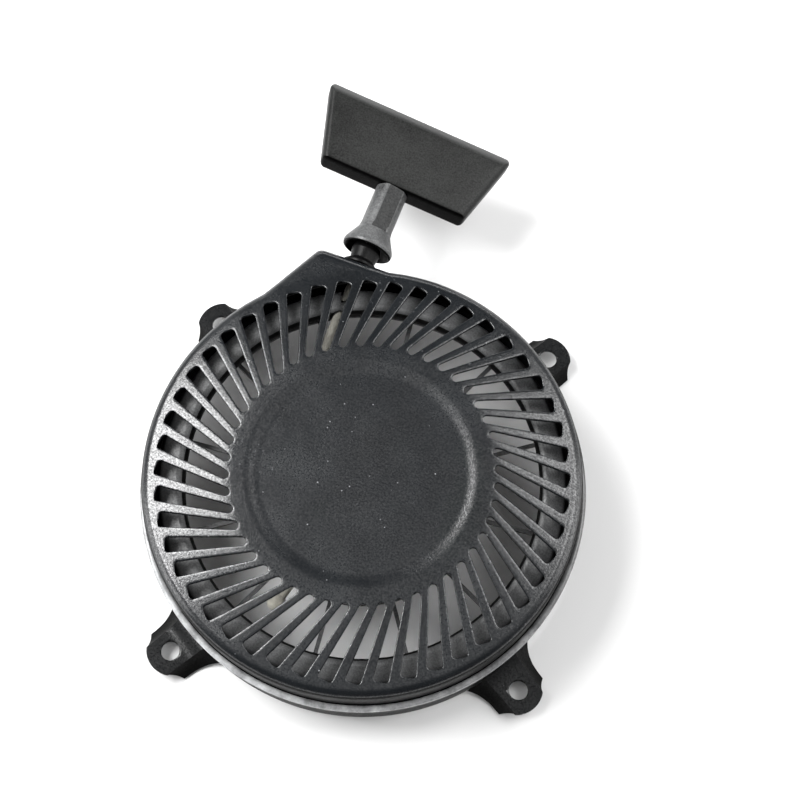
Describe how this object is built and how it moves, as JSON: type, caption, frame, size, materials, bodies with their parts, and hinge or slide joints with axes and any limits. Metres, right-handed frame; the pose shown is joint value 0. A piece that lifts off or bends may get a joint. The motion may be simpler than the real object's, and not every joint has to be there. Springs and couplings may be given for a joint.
{
  "type": "recoil starter",
  "caption": "Pull-cord recoil starter: black slotted steel cover on an eared base ring, with rope, spring pulley and T-shaped grip.",
  "frame": {"origin": "centre of the four ears' bolt circle, on the underside of the ear pads", "axes": "+Z along the pulley axis away from the engine, +Y the direction in which the rope is pulled"},
  "size_m": [0.2194, 0.2858, 0.0623],
  "materials": {
    "black_paint": "satin black powder paint with light scuffs",
    "zinc_steel": "zinc plated",
    "spring_steel": "blued spring steel",
    "pawl_steel": "hardened steel",
    "black_nylon": "moulded glass-filled nylon",
    "bronze": "sintered bronze",
    "rope": "braided polyester",
    "neck_plastic": "mid grey moulded plastic",
    "grip_plastic": "dark grey grained plastic"
  },
  "bodies": {
    "root": {"slotted_cover": "black_paint", "base_ring": "black_paint", "guard_spider": "black_paint", "spring_case": "zinc_steel", "recoil_spring": "spring_steel", "centre_post": "zinc_steel", "brake_spring": "spring_steel", "screw_washer": "zinc_steel", "centre_screw": "zinc_steel", "rope_eyelet": "black_nylon", "eyelet_retainer": "zinc_steel"},
    "pulley": {"rope_pulley": "black_nylon", "pulley_bush": "bronze", "wound_rope": "rope", "pulley_knot": "rope", "pawl_pins": "zinc_steel"},
    "friction_plate": {"friction_plate": "zinc_steel"},
    "pawl_1": {"pawl_1": "pawl_steel"},
    "pawl_2": {"pawl_2": "pawl_steel"},
    "rope_end": {"rope_run": "rope", "grip_knot": "rope"},
    "handle": {"knot_washer": "zinc_steel", "grip_neck": "neck_plastic", "pull_grip": "grip_plastic", "grip_cap": "grip_plastic"}
  },
  "joints": [
    {"name": "pulley_spin", "type": "hinge", "parent": "root", "child": "pulley", "pos_m": [0, 0, 0.0396], "axis": [0, 0, -1], "range_deg": [0, 1440], "stiffness_Nm_per_rad": 0.024, "springref_deg": -1432.39, "deforming": ["recoil_spring"]},
    {"name": "handle_pull", "type": "slide", "parent": "root", "child": "rope_end", "axis": [0, 1, 0], "range_m": [0, 0.8357], "deforming": ["rope_run"]},
    {"name": "grip_swivel", "type": "hinge", "parent": "rope_end", "child": "handle", "pos_m": [-0.04, 0.105, 0.0396], "axis": [0, 1, 0], "range_deg": [-180, 180]},
    {"name": "plate_lag", "type": "hinge", "parent": "pulley", "child": "friction_plate", "pos_m": [0, 0, 0.0254], "axis": [0, 0, 1], "range_deg": [0, 20]},
    {"name": "pawl_1_swing", "type": "hinge", "parent": "pulley", "child": "pawl_1", "pos_m": [0.026, 0, 0.0302], "axis": [0, 0, 1], "range_deg": [0, 28]},
    {"name": "pawl_2_swing", "type": "hinge", "parent": "pulley", "child": "pawl_2", "pos_m": [-0.026, 0, 0.0302], "axis": [0, 0, 1], "range_deg": [0, 28]}
  ],
  "couplings": [
    {"joint": "handle_pull", "follows": "pulley_spin", "m_per_rad": 0.03325},
    {"joint": "pawl_1_swing", "follows": "plate_lag", "ratio": 1.4},
    {"joint": "pawl_2_swing", "follows": "plate_lag", "ratio": 1.4}
  ]
}
